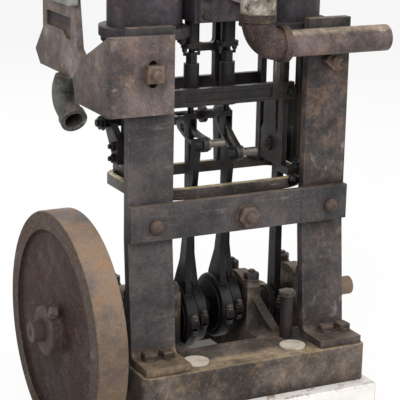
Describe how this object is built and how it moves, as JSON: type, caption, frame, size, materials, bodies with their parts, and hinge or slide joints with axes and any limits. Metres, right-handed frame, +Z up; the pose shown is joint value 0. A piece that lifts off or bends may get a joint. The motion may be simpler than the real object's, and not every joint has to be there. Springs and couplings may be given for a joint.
{
  "type": "stationary steam engine",
  "caption": "Small vertical steam engine with flat-bar columns, cylinders over an open crank and link valve gear, a side flywheel and timber bearers.",
  "frame": {"origin": "on the floor, under the middle of the overall box", "axes": "+Z up, +X along the crankshaft away from the flywheel, -Y to the front where the columns stand"},
  "size_m": [0.594, 0.41, 0.852],
  "materials": {
    "cast_iron": "dark, dry and rust stained",
    "rusted_bar": "flat bar with old paint and rust",
    "bright_steel": "worn bearing steel",
    "oily_steel": "black with old oil",
    "brass": "tarnished",
    "timber": "white paint",
    "plug": "pale and worn",
    "lagging": "chalky white lagging over pipe",
    "pale_iron": "pale and weathered"
  },
  "bodies": {
    "frame": {"arm_plate": "rusted_bar", "base_plugs": "plug", "bearing_brasses": "brass", "bearing_caps": "cast_iron", "bedplate": "cast_iron", "bracket_plate": "rusted_bar", "chest_cover": "cast_iron", "clamp_block": "pale_iron", "crossbar": "rusted_bar", "cylinder_feet": "cast_iron", "drain_elbow": "cast_iron", "exhaust_elbow": "cast_iron", "exhaust_pipe": "rusted_bar", "exhaust_riser": "lagging", "expansion_links": "bright_steel", "front_bearer": "timber", "front_guide_beam": "oily_steel", "guide_ring": "rusted_bar", "hanger": "oily_steel", "left_column": "rusted_bar", "left_crosshead": "oily_steel", "left_cylinder": "cast_iron", "left_cylinder_cover": "cast_iron", "left_guides": "oily_steel", "oil_post": "oily_steel", "piston_glands": "brass", "piston_rods": "bright_steel", "rear_bearer": "timber", "rear_guide_beam": "oily_steel", "reverse_brackets": "oily_steel", "reverse_shaft": "bright_steel", "right_column": "rusted_bar", "right_crosshead": "oily_steel", "right_cylinder": "cast_iron", "right_cylinder_cover": "cast_iron", "right_guides": "oily_steel", "steam_chest": "cast_iron", "valve_glands": "brass", "valve_rods": "bright_steel"},
    "crankshaft": {"crankshaft": "bright_steel", "flywheel": "cast_iron", "eccentric_sheaves": "cast_iron"},
    "left_connecting_rod": {"left_connecting_rod": "oily_steel"},
    "right_connecting_rod": {"right_connecting_rod": "oily_steel"},
    "left_outer_eccentric": {"left_outer_eccentric_rod": "oily_steel"},
    "left_inner_eccentric": {"left_inner_eccentric_rod": "oily_steel"},
    "right_inner_eccentric": {"right_inner_eccentric_rod": "oily_steel"},
    "right_outer_eccentric": {"right_outer_eccentric_rod": "oily_steel"}
  },
  "joints": [
    {"name": "crank_turn", "type": "hinge", "parent": "frame", "child": "crankshaft", "pos_m": [0, 0, 0.207], "axis": [1, 0, 0], "continuous": true},
    {"name": "left_big_end", "type": "hinge", "parent": "crankshaft", "child": "left_connecting_rod", "pos_m": [-0.103, 0, 0.235], "axis": [1, 0, 0], "continuous": true},
    {"name": "right_big_end", "type": "hinge", "parent": "crankshaft", "child": "right_connecting_rod", "pos_m": [0.145, 0, 0.179], "axis": [1, 0, 0], "continuous": true},
    {"name": "left_outer_strap", "type": "hinge", "parent": "crankshaft", "child": "left_outer_eccentric", "pos_m": [-0.038, -0.00866, 0.202], "axis": [1, 0, 0], "continuous": true},
    {"name": "left_inner_strap", "type": "hinge", "parent": "crankshaft", "child": "left_inner_eccentric", "pos_m": [-0.012, 0.00866, 0.202], "axis": [1, 0, 0], "continuous": true},
    {"name": "right_inner_strap", "type": "hinge", "parent": "crankshaft", "child": "right_inner_eccentric", "pos_m": [0.026, -0.00866, 0.212], "axis": [1, 0, 0], "continuous": true},
    {"name": "right_outer_strap", "type": "hinge", "parent": "crankshaft", "child": "right_outer_eccentric", "pos_m": [0.052, 0.00866, 0.212], "axis": [1, 0, 0], "continuous": true}
  ],
  "couplings": [
    {"joint": "left_big_end", "follows": "crank_turn", "ratio": -1},
    {"joint": "right_big_end", "follows": "crank_turn", "ratio": -1},
    {"joint": "left_outer_strap", "follows": "crank_turn", "ratio": -1},
    {"joint": "left_inner_strap", "follows": "crank_turn", "ratio": -1},
    {"joint": "right_inner_strap", "follows": "crank_turn", "ratio": -1},
    {"joint": "right_outer_strap", "follows": "crank_turn", "ratio": -1}
  ]
}
